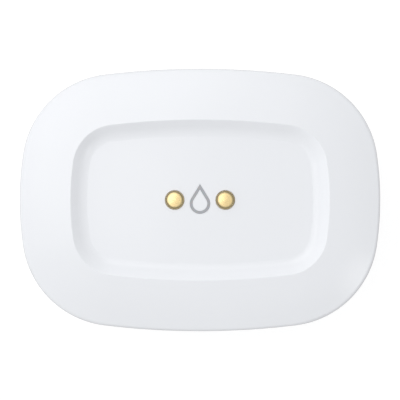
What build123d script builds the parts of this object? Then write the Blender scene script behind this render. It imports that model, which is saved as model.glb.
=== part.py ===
from build123d import *
import os
from math import atan2, cos, degrees, hypot, radians, sin, sqrt, tan

# A small water leak sensor that lies flat on the floor. +Z is up and +Y is the back, where the
# pairing button is. The origin is on the floor, below the middle of the body. Millimetres.

# Plan of the body: eight arcs, each tangent to the next
body_length = 51.1
body_width = 37.2
long_side_radius = 112.0
short_side_radius = 45.0
corner_radius = 13.3

# Walls of the two mouldings
cover_wall = 1.5
case_wall = 1.6
case_floor = 1.6
dish_wall = 1.4
wall_overlap = 0.3
cut_overrun = 1.0

# Outer side of the body
side_draft = 0.9
base_edge_radius = 2.2
cover_edge_radius = 0.5
inner_corner_chamfer = 0.6
seam_chamfer = 0.3

# Rim and dish of the top cover
rim_width = 7.25
rim_shoulder_inset = 3.6
rim_inner_drop = 0.35
rim_outer_drop = 0.73
rim_bow_share = 0.5
crease_radius = 0.2
dish_depth = 1.2
dish_slope_width = 1.54
dish_slope_round_share = 0.41

# Tongue and groove between cover and case, with the gasket in the groove
tongue_inset = 1.2
tongue_thickness = 0.8
tongue_depth = 0.8
tongue_root = 1.0
groove_clearance = 0.1
gasket_height = 0.7
gasket_clearance = 0.05
joint_lip = 0.9
joint_height = 2.6
joint_slope = 1.5

# Stack of heights, from the floor up
foot_height = 0.6
door_plate = 1.2
plug_height = 1.6
cell_seat_gap = 0.1
cell_thickness = 7.7
contact_height = 1.5
board_thickness = 0.8
headroom = 2.6
seam_below_board = 1.9

# Coin cell and the bay it sits in
cell_diameter = 24.5
cell_clearance = 0.3
cell_edge_chamfer = 0.3
cell_wall = 0.3
cell_rim_step = 0.35
cell_rim_width = 0.8
cell_cap_height = 0.9
cell_insulator_width = 0.5
cell_insulator_step = 0.15
cell_fit = 0.02
bay_wall = 1.1
bay_board_gap = 0.4

# Battery door, its plug and its seal
plug_step = 0.6
plug_clearance = 0.1
plug_wall = 1.6
plug_rib_thickness = 0.9
door_flange_width = 1.6
door_clearance = 0.15
door_edge_chamfer = 0.25
door_land_width = 1.4
door_seal_height = 0.7
door_seal_depth = 0.55
door_seal_fit = 0.05
pry_notch_radius = 2.6
pry_notch_undercut = 0.5
pry_notch_wall = 1.2

# Case screws and the plugs that hide their heads
screw_offset = 4.0
screw_shank_radius = 1.0
screw_head_radius = 1.8
screw_head_height = 1.2
screw_bite_length = 3.2
screw_tip_length = 0.6
screw_recess_depth = 3.4
screw_fit = 0.03
screw_hole_clearance = 0.15
screw_head_clearance = 0.3
screw_hole_end_gap = 0.5
screw_boss_wall = 0.8
cover_boss_wall = 1.2
boss_rib_thickness = 0.9
boss_gap = 0.05
driver_width = 0.45
driver_length = 2.0
driver_depth = 0.7
screw_plug_depth = 1.6
screw_plug_fit = 0.05

# Foot probes: gold plated studs that the sensor stands on
foot_head_radius = 1.9
foot_head_depth = 0.4
foot_head_chamfer = 0.35
foot_shank_radius = 1.0
foot_clearance = 0.08
foot_boss_wall = 1.0
foot_boss_height = 4.8
foot_seal_width = 0.5
foot_seal_height = 0.4
clip_width = 0.7
clip_height = 0.3
clip_fit = 0.02

# Probes in the dish
probe_spacing = 7.17
probe_head_radius = 1.32
probe_head_height = 0.65
probe_edge_radius = 0.3
probe_crown_height = 0.05
probe_seat_depth = 0.3
probe_stem_radius = 0.7
probe_stem_end = 0.2
probe_clearance = 0.08
probe_boss_wall = 1.0
probe_boss_height = 0.6
probe_seal_width = 0.35
probe_seal_height = 0.35

# Drop sign set into the dish floor, and the light guide under it
drop_radius = 1.46
drop_tip_distance = 2.79
drop_offset = 0.51
drop_line_width = 0.42
drop_groove_depth = 0.4
drop_fit = 0.02
guide_margin = 0.25
guide_foot_inset = 0.75
guide_pocket_depth = 0.25
guide_gap = 0.15
guide_fit = 0.03

# Circuit board
board_inset = 3.4
board_boss_gap = 0.7
part_gap = 0.6
post_radius = 1.6
post_offset = 0.75
post_x_share = 0.5
post_y_share = 0.75
board_pin_radius = 0.7
board_pin_height = 0.5
board_pin_clearance = 0.1
board_screw_radius = 0.8
board_screw_head_radius = 1.5
board_screw_head_height = 0.8
board_screw_length = 5.0
board_hole_clearance = 0.15

# Stamped contacts
contact_thickness = 0.15
contact_width = 1.2
contact_length = 2.4
contact_bend_radius = 0.3
contact_touch_gap = 0.03
positive_width = 3.2
positive_height = 5.2
positive_tip_height = 1.2
positive_pad_length = 2.4
positive_bow_depth = 0.6
positive_touch_gap = 0.06
window_clearance = 0.6
negative_width = 3.4
negative_pad_length = 3.0
negative_finger_length = 5.0
negative_tip_height = 0.5
negative_tip_length = 1.6

# Parts on the board
shield_height = 1.7
shield_wall = 0.2
shield_corner_radius = 0.6
shield_edge_gap = 1.2
chip_width = 5.0
chip_height = 0.9
crystal_length = 3.2
crystal_width = 2.5
crystal_height = 0.7
antenna_length = 7.0
antenna_width = 2.0
antenna_height = 0.8
antenna_edge_gap = 0.6
led_length = 1.6
led_width = 0.8
led_height = 0.6
led_lens_height = 0.3
capacitor_length = 1.6
capacitor_width = 0.8
capacitor_height = 0.8
capacitor_place_shares = ((0.36, 0.33), (0.48, 0.33), (0.6, 0.33),
                          (0.3, -0.4), (-0.22, -0.55), (0.2, 0.55))
resistor_length = 1.0
resistor_width = 0.5
resistor_height = 0.35
resistor_place_shares = ((0.34, 0.06), (0.34, 0.15), (0.46, 0.1), (0.58, 0.1),
                         (-0.34, -0.46), (-0.42, -0.46), (0.14, -0.34), (0.08, -0.48))

# Pairing button in the back wall, with its switch
switch_length = 4.5
switch_depth = 2.6
switch_height = 1.8
plunger_length = 1.6
plunger_height = 0.8
plunger_stroke_length = 0.5
plunger_well_depth = 1.0
plunger_clearance = 0.06
button_length = 5.6
button_height = 2.0
button_recess_depth = 0.25
button_clearance = 0.12
button_edge_radius = 0.25
button_flange_width = 0.6
button_flange_depth = 0.5
button_seal_thickness = 0.45
button_seal_gap = 0.05
button_stem_length = 0.4
collar_wall = 0.5
collar_clearance = 0.1

# Heights that follow from the stack
underside = foot_height
floor_top = underside + case_floor
door_top = underside + door_plate
plug_top = door_top + plug_height
cell_base = plug_top + cell_seat_gap
cell_top = cell_base + cell_thickness
board_base = cell_top + contact_height
board_top = board_base + board_thickness
dish_underside = board_top + headroom
dish_floor = dish_underside + dish_wall
crease_height = dish_floor + dish_depth
rim_shoulder = crease_height - rim_inner_drop
rim_edge = rim_shoulder - rim_outer_drop
seam = board_base - seam_below_board
lip_base = seam - joint_height
lip_slope_base = lip_base - joint_slope
groove_base = seam - tongue_depth - gasket_height
bay_top = board_base - bay_board_gap
fitting_base = floor_top - wall_overlap
foot_boss_top = floor_top + foot_boss_height
driver_seat = underside + screw_recess_depth
screw_end = seam + screw_bite_length
probe_seat = dish_floor - probe_seat_depth
probe_clip_top = dish_underside - probe_boss_height
probe_contact_height = probe_clip_top - clip_height - probe_stem_end - board_top
button_axis = board_top + switch_height / 2

# The dish's slope and the roundings of the rim and dish, from the same section
rim_slope_angle = atan2(rim_inner_drop, rim_width - rim_shoulder_inset)
rim_edge_angle = atan2(rim_outer_drop, rim_shoulder_inset)
rim_bow_radius = rim_bow_share * rim_shoulder_inset / tan((rim_edge_angle - rim_slope_angle) / 2)
slope_angle = atan2(dish_depth, dish_slope_width)
slope_round = dish_slope_round_share * hypot(dish_depth, dish_slope_width)
slope_radius = slope_round / tan(slope_angle / 2)

# Radii and insets that follow from the sizes above
bay_radius = cell_diameter / 2 + cell_clearance
plug_bore_radius = bay_radius + plug_step
plug_radius = plug_bore_radius - plug_clearance
bay_wall_radius = plug_bore_radius + bay_wall
door_radius = plug_radius + door_flange_width
door_seat_radius = door_radius + door_clearance
tongue_end_inset = tongue_inset + tongue_thickness
groove_inset = tongue_inset - groove_clearance
groove_end_inset = tongue_end_inset + groove_clearance
joint_inset = groove_end_inset + joint_lip
driver_hole_radius = screw_head_radius + screw_head_clearance
boss_radius = screw_shank_radius + cover_boss_wall
probe_boss_radius = probe_stem_radius + probe_boss_wall

# Places that follow: screws and feet are in the middle of the room beside the door
board_half_length = body_length / 2 - board_inset
board_half_width = body_width / 2 - board_inset
screw_x = (door_seat_radius + body_length / 2 - side_draft - case_wall) / 2
neck_x = screw_x - boss_radius - board_boss_gap
post_circle_radius = bay_wall_radius + post_offset
post_angle = atan2(post_y_share * board_half_width, post_x_share * board_half_length)
post_x = post_circle_radius * cos(post_angle)
post_y = post_circle_radius * sin(post_angle)
probe_x = probe_spacing / 2
shield_inner_x = probe_x + contact_length / 2 + part_gap
shield_low_y = contact_width / 2 + part_gap
shield_length = neck_x - shield_edge_gap - shield_inner_x
shield_width = post_y - board_pin_radius - part_gap - shield_low_y
shield_x = -shield_inner_x - shield_length / 2
shield_y = shield_low_y + shield_width / 2
crystal_y = -contact_width / 2 - 2 * part_gap - crystal_width / 2
antenna_y = -board_half_width + antenna_edge_gap + antenna_width / 2
cover_inner_y = body_width / 2 - cover_wall
flange_front = cover_inner_y - button_seal_thickness - button_seal_gap
flange_back = flange_front - button_flange_depth
plunger_tip = flange_back - button_stem_length
switch_front = plunger_tip - plunger_stroke_length

UPRIGHT = (Align.CENTER, Align.CENTER, Align.MIN)
SIDES = (-1, 1)


def upright_round(radius, low, high, x=0, y=0):
    """A round bar standing between two heights."""
    return Pos(x, y, low) * Cylinder(radius, high - low, align=UPRIGHT)


def upright_tube(outer, inner, low, high, x=0, y=0):
    """A tube standing between two heights."""
    return upright_round(outer, low, high, x, y) - upright_round(inner, low, high, x, y)


def upright_block(length, width, low, high, x=0, y=0):
    """A block standing between two heights."""
    return Pos(x, y, low) * Box(length, width, high - low, align=UPRIGHT)


def four_corners(x, y):
    """The four places at x and y, mirrored about both middle planes."""
    return [(side_x * x, side_y * y) for side_x in SIDES for side_y in SIDES]


def corner_centre():
    """The centre of the corner arc that touches the arcs of a long and a short side."""
    long_y = body_width / 2 - long_side_radius
    short_x = body_length / 2 - short_side_radius
    long_reach = long_side_radius - corner_radius
    short_reach = short_side_radius - corner_radius
    apart = hypot(short_x, long_y)
    along = (long_reach**2 - short_reach**2 + apart**2) / (2 * apart)
    across = sqrt(long_reach**2 - along**2)
    unit_x, unit_y = short_x / apart, -long_y / apart
    return unit_x * along + unit_y * across, long_y + unit_y * along - unit_x * across


def outline_wire(inset):
    """The plan of the body moved inward by inset, from the middle of the right side round."""
    long_y = body_width / 2 - long_side_radius
    short_x = body_length / 2 - short_side_radius
    x, y = corner_centre()
    short_half = degrees(atan2(y, x - short_x))
    long_half = degrees(atan2(x, y - long_y))
    turn = 90 - short_half - long_half
    short_arc, long_arc = short_side_radius - inset, long_side_radius - inset
    corner_arc = corner_radius - inset
    arcs = [
        ((short_x, 0), short_arc, 0, short_half),
        ((x, y), corner_arc, short_half, turn),
        ((0, long_y), long_arc, 90 - long_half, 2 * long_half),
        ((-x, y), corner_arc, 90 + long_half, turn),
        ((-short_x, 0), short_arc, 180 - short_half, 2 * short_half),
        ((-x, -y), corner_arc, 180 + short_half, turn),
        ((0, -long_y), long_arc, 270 - long_half, 2 * long_half),
        ((x, -y), corner_arc, 270 + long_half, turn),
        ((short_x, 0), short_arc, 360 - short_half, short_half),
    ]
    return Wire([CenterArc(centre, radius, start, size) for centre, radius, start, size in arcs])


def outline_plate(inset, low, high):
    """A plate with the body's plan moved inward by inset."""
    return Pos(0, 0, low) * extrude(Face(outline_wire(inset)), high - low)


def swept_wall(corners):
    """A closed wall: the section is corners of (inset, height, rounding), swept round the plan."""
    points = [(body_length / 2 - inset, 0, height) for inset, height, rounding in corners]
    section = FilletPolyline(points, radius=[corner[2] for corner in corners], close=True)
    return sweep(Face(Wire(section.edges())), path=outline_wire(0))


def pill_bar(length, height, y_low, y_high, axis_height):
    """A bar with a pill-shaped section, lying along Y."""
    plane = Plane(origin=(0, y_low, axis_height), x_dir=(1, 0, 0), z_dir=(0, 1, 0))
    return extrude(plane * SlotOverall(length, height), y_high - y_low)


def bent_strip(points, width):
    """A strip bent along points in an upright plane along X. Its middle follows them."""
    path = FilletPolyline(points, radius=contact_bend_radius)
    plane = Plane(origin=path @ 0, x_dir=(0, 1, 0), z_dir=path % 0)
    return sweep(plane * Rectangle(width, contact_thickness), path=path)


def drop_face(inset):
    """A drop with its tip to the back: a round belly and two straight sides, moved in by inset."""
    radius = drop_radius - inset
    tip = drop_tip_distance * radius / drop_radius
    touch_x = radius * sqrt(1 - (radius / tip) ** 2)
    touch_y = radius**2 / tip
    belly = ThreePointArc((-touch_x, touch_y), (0, -radius), (touch_x, touch_y))
    sides = Polyline((touch_x, touch_y), (0, tip), (-touch_x, touch_y))
    return Pos(0, -drop_offset) * Face(Wire([*belly.edges(), *sides.edges()]))


def drop_plate(inset, low, high):
    """A plate with the drop's shape."""
    return Pos(0, 0, low) * extrude(drop_face(inset), high - low)


def drop_ring(fit, low, high):
    """The drop sign's line as a ring, thinner by a fit on either side."""
    return drop_plate(fit, low, high) - drop_plate(drop_line_width - fit, low, high)


def foot_place():
    """The middle of the room between the door's seat and the rounded lower edge at a corner."""
    corner_x, corner_y = corner_centre()
    reach = (corner_radius - side_draft - base_edge_radius) * sin(radians(45))
    direction = Vector(corner_x + reach, corner_y + reach)
    place = direction.normalized() * (door_seat_radius + direction.length) / 2
    return place.X, place.Y


def wall_inset_at(height):
    """How far the inner face of the case's leaning wall is from the outline at a height."""
    top = seam - seam_chamfer
    return case_wall + side_draft * (top - height) / (top - underside)


def boss_rib(x, y, inset, low, high):
    """A rib that ties a screw boss to the end wall, as far as inset from the body's end."""
    length = body_length / 2 - inset - abs(x)
    side = 1 if x > 0 else -1
    return upright_block(length, boss_rib_thickness, low, high, side * (abs(x) + length / 2), y)


def make_top_cover():
    """The lid: a swept rim round a thin dish floor, with its bosses, probe seats and button collar."""
    reach = rim_width + dish_slope_width + slope_round + wall_overlap
    slope_wall = cover_wall / sin(slope_angle)
    under_rim = crease_height - cover_wall
    wall_start = rim_width + cover_wall / tan(slope_angle) - slope_wall
    wall_end = rim_width + dish_slope_width + dish_wall / tan(slope_angle) - slope_wall
    root = seam + tongue_root
    cover = swept_wall([
        (seam_chamfer, seam, 0),
        (0, seam + seam_chamfer, 0),
        (0, rim_edge, cover_edge_radius),
        (rim_shoulder_inset, rim_shoulder, rim_bow_radius),
        (rim_width, crease_height, crease_radius),
        (rim_width + dish_slope_width, dish_floor, slope_radius),
        (reach, dish_floor, 0),
        (reach, dish_underside, 0),
        (wall_end, dish_underside, 0),
        (wall_start, under_rim, 0),
        (cover_wall + inner_corner_chamfer, rim_edge - cover_wall, 0),
        (cover_wall, rim_edge - cover_wall - inner_corner_chamfer, 0),
        (cover_wall, root, 0),
        (tongue_end_inset, root - tongue_end_inset + cover_wall, 0),
        (tongue_end_inset, seam - tongue_depth, 0),
        (tongue_inset, seam - tongue_depth, 0),
        (tongue_inset, seam, 0),
    ])
    cover += outline_plate(reach - wall_overlap / 2, dish_underside, dish_floor)
    for x, y in four_corners(screw_x, screw_offset):
        cover += upright_round(boss_radius, seam, rim_edge - wall_overlap, x, y)
        cover += boss_rib(x, y, cover_wall / 2, root, rim_edge - wall_overlap)
    for x in (-probe_x, probe_x):
        cover += upright_round(probe_boss_radius, probe_clip_top, dish_underside + wall_overlap, x)
    collar_margin = button_flange_width + collar_clearance + collar_wall
    cover += button_bar(collar_margin, flange_back, cover_inner_y + wall_overlap)
    return cover - cover_cuts()


def button_bar(margin, y_low, y_high):
    """A pill-shaped bar on the button's axis, wider than the button by a margin all round."""
    return pill_bar(button_length + 2 * margin, button_height + 2 * margin, y_low, y_high, button_axis)


def cover_cuts():
    """All that is cut from the lid: screw, probe and button holes, drop groove, light pocket."""
    cuts = button_bar(button_clearance, plunger_tip, body_width / 2 + cut_overrun)
    cuts += button_bar(button_flange_width + collar_clearance, plunger_tip, cover_inner_y)
    for x, y in four_corners(screw_x, screw_offset):
        cuts += upright_round(screw_shank_radius + screw_fit, seam, screw_end + screw_hole_end_gap, x, y)
    seal_radius = probe_stem_radius + probe_seal_width + probe_clearance
    for x in (-probe_x, probe_x):
        cuts += upright_round(probe_head_radius + probe_clearance, probe_seat, crease_height, x)
        cuts += upright_round(seal_radius, probe_seat - probe_seal_height, probe_seat, x)
        cuts += upright_round(probe_stem_radius + clip_fit, probe_clip_top, probe_seat, x)
    cuts += drop_ring(0, dish_floor - drop_groove_depth, crease_height)
    cuts += drop_plate(guide_margin - guide_fit, board_top, dish_underside + guide_pocket_depth)
    return cuts


def make_bottom_case():
    """The tub: a swept wall round a floor, with the cell's bay, the door's seat, bosses and posts."""
    slope_end = floor_top + inner_corner_chamfer
    reach = wall_inset_at(slope_end) + inner_corner_chamfer + wall_overlap
    case = swept_wall([
        (side_draft, underside, base_edge_radius),
        (0, seam - seam_chamfer, 0),
        (seam_chamfer, seam, 0),
        (joint_inset, seam, 0),
        (joint_inset, lip_base, 0),
        (wall_inset_at(lip_slope_base), lip_slope_base, 0),
        (wall_inset_at(slope_end), slope_end, 0),
        (wall_inset_at(slope_end) + inner_corner_chamfer, floor_top, 0),
        (reach + wall_overlap, floor_top, 0),
        (reach + wall_overlap, underside, 0),
    ])
    case += outline_plate(reach, underside, floor_top)
    case += case_fittings()
    case -= case_cuts()
    pin_top = board_top + board_pin_height
    for x, y in [(-post_x, post_y), (post_x, -post_y)]:
        case += upright_round(board_pin_radius, board_base - wall_overlap, pin_top, x, y)
    return case


def case_fittings():
    """What stands on the tub's floor: the bay's wall, the door's land, bosses, ribs and board posts."""
    fittings = upright_round(bay_wall_radius, fitting_base, bay_top)
    fittings += upright_round(door_seat_radius + door_land_width, fitting_base, plug_top)
    notch_wall_radius = pry_notch_radius + pry_notch_wall
    fittings += upright_round(notch_wall_radius, fitting_base, plug_top, -door_seat_radius)
    for x, y in four_corners(screw_x, screw_offset):
        driver_boss_radius = driver_hole_radius + screw_boss_wall
        fittings += upright_round(driver_boss_radius, fitting_base, driver_seat + screw_boss_wall, x, y)
        fittings += upright_round(boss_radius, fitting_base, seam - boss_gap, x, y)
        fittings += boss_rib(x, y, side_draft + case_wall / 2, fitting_base, lip_slope_base)
    for x, y in four_corners(*foot_place()):
        fittings += upright_round(foot_shank_radius + foot_boss_wall, fitting_base, foot_boss_top, x, y)
    for x, y in four_corners(post_x, post_y):
        fittings += upright_round(post_radius, fitting_base, board_base, x, y)
    return fittings


def case_cuts():
    """All that is cut from the tub: seam groove, bay, door seat, pry notch, window and holes."""
    cuts = outline_plate(groove_inset, groove_base, seam) + outline_plate(-cut_overrun, seam, board_top)
    cuts -= outline_plate(groove_end_inset, groove_base, board_top)
    cuts += upright_round(bay_radius, plug_top, board_top)
    cuts += upright_round(plug_bore_radius, door_top, cell_base)
    cuts += upright_round(door_seat_radius, 0, door_top)
    cuts += upright_round(pry_notch_radius, 0, door_top + pry_notch_undercut, -door_seat_radius)
    window_width = positive_width + 2 * window_clearance
    window_low = board_base - positive_height - positive_tip_height - window_clearance
    window_depth = 2 * bay_wall_radius - cell_diameter
    cuts += upright_block(window_depth, window_width, window_low, board_top, -bay_wall_radius)
    for x, y in four_corners(screw_x, screw_offset):
        cuts += upright_round(driver_hole_radius, 0, driver_seat, x, y)
        cuts += upright_round(screw_shank_radius + screw_hole_clearance, driver_seat, seam, x, y)
    for x, y in four_corners(*foot_place()):
        seat = underside + foot_head_depth
        seal_radius = foot_shank_radius + foot_seal_width + foot_clearance
        clip_room = foot_shank_radius + clip_width + clip_fit + foot_clearance
        cuts += upright_round(foot_head_radius + foot_clearance, 0, seat, x, y)
        cuts += upright_round(seal_radius, seat, seat + foot_seal_height, x, y)
        cuts += upright_round(foot_shank_radius + clip_fit, seat, foot_boss_top, x, y)
        cuts += upright_round(clip_room, foot_boss_top, board_base, x, y)
    for x, y in [(post_x, post_y), (-post_x, -post_y)]:
        low = board_top - board_screw_length - screw_hole_end_gap
        cuts += upright_round(board_screw_radius + screw_fit, low, board_top, x, y)
    return cuts


def make_case_gasket():
    """The seal at the bottom of the groove, squeezed by the tongue."""
    outer = outline_plate(groove_inset + gasket_clearance, groove_base, seam - tongue_depth)
    return outer - outline_plate(groove_end_inset - gasket_clearance, groove_base, seam - tongue_depth)


def cross_recess(x, y, seat, radius_share=1):
    """A cross-shaped driver recess that opens downward at a height."""
    length, width = driver_length * radius_share, driver_width * radius_share
    recess = upright_block(length, width, seat, seat + driver_depth, x, y)
    return recess + upright_block(width, length, seat, seat + driver_depth, x, y)


def make_case_screws():
    """Four screws, put in from below."""
    screws = []
    head_base = driver_seat - screw_head_height
    tip_base = screw_end - screw_tip_length
    for x, y in four_corners(screw_x, screw_offset):
        screw = upright_round(screw_head_radius, head_base, driver_seat, x, y)
        screw += upright_round(screw_shank_radius, driver_seat, tip_base, x, y)
        tip = Cone(screw_shank_radius, screw_shank_radius / 2, screw_tip_length, align=UPRIGHT)
        screw += Pos(x, y, tip_base) * tip
        screws.append(screw - cross_recess(x, y, head_base))
    return screws


def make_screw_plugs():
    """Four rubber plugs that close the screw holes flush with the underside."""
    radius = driver_hole_radius - screw_plug_fit
    return [upright_round(radius, underside, underside + screw_plug_depth, x, y)
            for x, y in four_corners(screw_x, screw_offset)]


def make_battery_door():
    """The round door: a plate, and a plug with a groove for its seal and two ribs under the cell."""
    plate = upright_round(door_radius, underside, door_top)
    plate = chamfer(plate.edges().group_by(Axis.Z)[0], door_edge_chamfer)
    plug = upright_tube(plug_radius, plug_radius - plug_wall, door_top, plug_top)
    seal_low, seal_high = door_seal_heights()
    plug -= upright_tube(plug_radius + cut_overrun, plug_radius - door_seal_depth, seal_low, seal_high)
    ribs = upright_block(2 * plug_radius - plug_wall, plug_rib_thickness, door_top, plug_top)
    ribs += upright_block(plug_rib_thickness, 2 * plug_radius - plug_wall, door_top, plug_top)
    return plate + plug + ribs


def door_seal_heights():
    """The lowest and highest point of the groove for the door's seal."""
    middle = (door_top + plug_top) / 2
    return middle - door_seal_height / 2, middle + door_seal_height / 2


def make_door_seal():
    """The ring in the plug's groove."""
    low, high = door_seal_heights()
    return upright_tube(plug_bore_radius - door_seal_fit, plug_radius - door_seal_depth, low, high)


def make_cell_can():
    """The steel can of the coin cell, with a mouth for the insulator and cap."""
    radius = cell_diameter / 2
    can = upright_round(radius, cell_base, cell_top - cell_rim_step)
    can = chamfer(can.edges().filter_by(GeomType.CIRCLE), cell_edge_chamfer)
    can -= upright_round(radius - cell_wall, cell_base + cell_wall, cell_top - cell_cap_height)
    return can - upright_round(radius - cell_rim_width, cell_base + cell_wall, cell_top)


def make_cell_insulator():
    """The plastic ring between can and cap."""
    outer = cell_diameter / 2 - cell_rim_width - cell_fit
    inner = outer - cell_insulator_width
    return upright_tube(outer, inner, cell_top - cell_cap_height, cell_top - cell_insulator_step)


def cell_cap_radius():
    """The outer radius of the cap."""
    return cell_diameter / 2 - cell_rim_width - cell_insulator_width - 2 * cell_fit


def make_cell_cap():
    """The negative cap, a shallow cup that faces the board."""
    radius = cell_cap_radius()
    cap = upright_round(radius, cell_top - cell_cap_height, cell_top)
    return cap - upright_round(radius - cell_wall, cell_top - cell_cap_height, cell_top - cell_wall)


def make_cell_filling():
    """The pressed pellet and lithium disc that fill can and cap."""
    pellet_radius = cell_diameter / 2 - cell_wall - cell_fit
    disc_radius = cell_cap_radius() - cell_wall - cell_fit
    pellet = upright_round(pellet_radius, cell_base + cell_wall, cell_top - cell_cap_height)
    return pellet + upright_round(disc_radius, cell_top - cell_cap_height, cell_top - cell_wall)


def make_probe(side):
    """A gold plated probe: a crowned head in the dish and a stem through its floor."""
    top = probe_seat + probe_head_height
    flat = probe_head_radius - probe_edge_radius
    shoulder_z = top - probe_crown_height
    edge_z = shoulder_z - probe_edge_radius
    bulge = probe_edge_radius * sin(radians(45))
    stem_end = board_top + probe_contact_height
    crown_radius = (flat**2 + probe_crown_height**2) / (2 * probe_crown_height)
    half_crown = crown_radius - sqrt(crown_radius**2 - (flat / 2) ** 2)
    crown = ThreePointArc((0, 0, top), (flat / 2, 0, top - half_crown), (flat, 0, shoulder_z))
    edge = ThreePointArc((flat, 0, shoulder_z), (flat + bulge, 0, edge_z + bulge),
                         (probe_head_radius, 0, edge_z))
    below = Polyline((probe_head_radius, 0, edge_z), (probe_head_radius, 0, probe_seat),
                     (probe_stem_radius, 0, probe_seat), (probe_stem_radius, 0, stem_end),
                     (0, 0, stem_end), (0, 0, top))
    outline = Wire([*crown.edges(), *edge.edges(), *below.edges()])
    return Pos(side * probe_x, 0) * revolve(Face(outline))


def make_probe_seals():
    """The seal under each probe's head."""
    outer, inner = probe_stem_radius + probe_seal_width, probe_stem_radius + clip_fit
    return [upright_tube(outer, inner, probe_seat - probe_seal_height, probe_seat, side * probe_x)
            for side in SIDES]


def make_probe_clips():
    """The push-on ring that holds each probe from below."""
    outer, inner = probe_stem_radius + clip_width, probe_stem_radius + clip_fit
    return [upright_tube(outer, inner, probe_clip_top - clip_height, probe_clip_top, side * probe_x)
            for side in SIDES]


def make_foot_probe(x, y):
    """A gold plated stud: a round foot below the case and a shank up to the board's contact."""
    seat = underside + foot_head_depth
    head = upright_round(foot_head_radius, 0, seat, x, y)
    head = chamfer(head.edges().group_by(Axis.Z)[0], foot_head_chamfer)
    return head + upright_round(foot_shank_radius, seat, cell_top, x, y)


def make_foot_seals():
    """The seal above each foot's head."""
    seat = underside + foot_head_depth
    outer = foot_shank_radius + foot_seal_width
    return [upright_tube(outer, foot_shank_radius + clip_fit, seat, seat + foot_seal_height, x, y)
            for x, y in four_corners(*foot_place())]


def make_foot_clips():
    """The push-on ring that holds each foot probe on top of its boss."""
    outer, inner = foot_shank_radius + clip_width, foot_shank_radius + clip_fit
    return [upright_tube(outer, inner, foot_boss_top, foot_boss_top + clip_height, x, y)
            for x, y in four_corners(*foot_place())]


def spring_contact(height):
    """A stamped contact: a foot on the board, and a finger that folds back over it, up to a height."""
    half = contact_length / 2
    low = contact_thickness / 2
    high = height - contact_touch_gap - contact_thickness / 2
    return bent_strip([(-half, 0, low), (half, 0, low), (half, 0, high / 2), (0, 0, high),
                       (-half, 0, high - contact_bend_radius)], contact_width)


def make_probe_contacts():
    """The contacts on top of the board, one under each dish probe."""
    return [Pos(side * probe_x, 0, board_top) * spring_contact(probe_contact_height) for side in SIDES]


def make_foot_contacts():
    """The contacts below the board, one above each foot probe."""
    turned = Rot(180, 0, 0) * spring_contact(contact_height)
    return [Pos(x, y, board_base) * turned for x, y in four_corners(*foot_place())]


def make_positive_contact():
    """The side contact: soldered below the board, and bowed in through the bay's window to the can."""
    top = board_base - contact_thickness / 2
    touch = cell_diameter / 2 + positive_touch_gap + contact_thickness / 2
    back = touch + positive_bow_depth
    bow = top - positive_height
    points = [(-back - positive_pad_length, 0, top), (-back, 0, top), (-back, 0, (top + bow) / 2),
              (-touch, 0, bow), (-back, 0, bow - positive_tip_height)]
    return bent_strip(points, positive_width)


def make_negative_contact():
    """The centre contact: soldered below the board, and sprung down to the cell's cap."""
    top = board_base - contact_thickness / 2
    touch = cell_top + contact_touch_gap + contact_thickness / 2
    bend = negative_finger_length / 2
    return bent_strip([(bend + negative_pad_length, 0, top), (bend, 0, top), (-bend, 0, touch),
                       (-bend - negative_tip_length, 0, touch + negative_tip_height)], negative_width)


def make_drop_inlay():
    """The drop sign: a ring set flush into the dish floor."""
    return drop_ring(drop_fit, dish_floor - drop_groove_depth, dish_floor)


def make_light_guide():
    """The clear guide that widens from the lamp on the board to the drop sign's shape."""
    low = board_top + led_height + led_lens_height + guide_gap
    small = Pos(0, 0, low) * drop_face(guide_foot_inset)
    large = Pos(0, 0, dish_underside) * drop_face(guide_margin)
    tenon = drop_plate(guide_margin, dish_underside, dish_underside + guide_pocket_depth)
    return loft([small, large], ruled=True) + tenon


def make_main_board():
    """The board: the body's plan, cut back at both ends for the screw bosses."""
    board = outline_plate(board_inset, board_base, board_top)
    notch_width = 2 * (screw_offset + boss_radius + board_boss_gap)
    for side in SIDES:
        middle = side * (neck_x + body_length / 2) / 2
        board -= upright_block(body_length / 2 - neck_x, notch_width, board_base, board_top, middle)
    for x, y in [(post_x, post_y), (-post_x, -post_y)]:
        board -= upright_round(board_screw_radius + board_hole_clearance, board_base, board_top, x, y)
    for x, y in [(-post_x, post_y), (post_x, -post_y)]:
        board -= upright_round(board_pin_radius + board_pin_clearance, board_base, board_top, x, y)
    return board


def make_board_screws():
    """Two screws that hold the board on its posts."""
    screws = []
    for x, y in [(post_x, post_y), (-post_x, -post_y)]:
        head_top = board_top + board_screw_head_height
        screw = upright_round(board_screw_head_radius, board_top, head_top, x, y)
        screw += upright_round(board_screw_radius, board_top - board_screw_length, board_top, x, y)
        share = board_screw_head_radius / screw_head_radius
        screws.append(screw - cross_recess(x, y, head_top - driver_depth * share, share))
    return screws


def make_radio_shield():
    """The tin can over the radio: a thin box with rounded corners, open below."""
    outer = Rectangle(shield_length, shield_width)
    outer = fillet(outer.vertices(), shield_corner_radius)
    inner = Rectangle(shield_length - 2 * shield_wall, shield_width - 2 * shield_wall)
    inner = fillet(inner.vertices(), shield_corner_radius - shield_wall)
    can = extrude(outer, shield_height) - extrude(inner, shield_height - shield_wall)
    return Pos(shield_x, shield_y, board_top) * can


def make_radio_chip():
    """The radio chip under its can."""
    return upright_block(chip_width, chip_width, board_top, board_top + chip_height, shield_x, shield_y)


def make_crystal():
    """The crystal that clocks the radio."""
    crystal_top = board_top + crystal_height
    return upright_block(crystal_length, crystal_width, board_top, crystal_top, shield_x, crystal_y)


def make_antenna():
    """The ceramic aerial at the front edge, away from the metal can."""
    antenna_top = board_top + antenna_height
    return upright_block(antenna_length, antenna_width, board_top, antenna_top, 0, antenna_y)


def make_status_led():
    """The lamp under the light guide."""
    lens_base = board_top + led_height
    lamp = upright_block(led_length, led_width, board_top, lens_base)
    return lamp + upright_round(led_width / 2, lens_base, lens_base + led_lens_height)


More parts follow.
